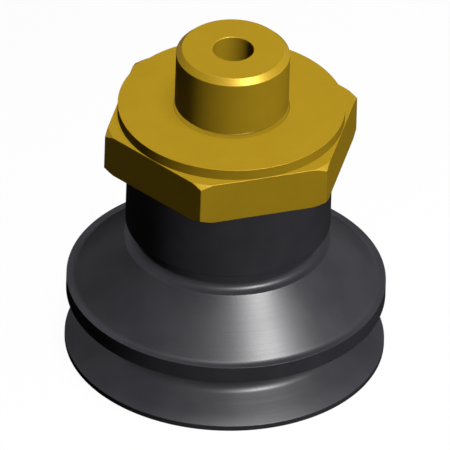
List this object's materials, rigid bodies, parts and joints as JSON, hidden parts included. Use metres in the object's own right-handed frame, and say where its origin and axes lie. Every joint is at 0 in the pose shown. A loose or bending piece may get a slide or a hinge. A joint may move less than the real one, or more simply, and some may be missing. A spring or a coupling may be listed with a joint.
{
  "type": "bellows suction cup",
  "caption": "Vacuum cup for a gripper: rubber bellows with a cone, a fold and a sealing lip, on a brass hexagon fitting with a stud and an air port.",
  "frame": {"origin": "centre of the plane that the lip seals on", "axes": "+Z along the axis, from the lip to the end of the stud; two corners of the hexagon lie on the X axis"},
  "size_m": [0.028, 0.028, 0.0311],
  "materials": {
    "rubber": "satin black moulded rubber",
    "brass": "turned brass"
  },
  "bodies": {
    "root": {"bellows": "rubber", "hex_fitting": "brass"}
  },
  "joints": []
}
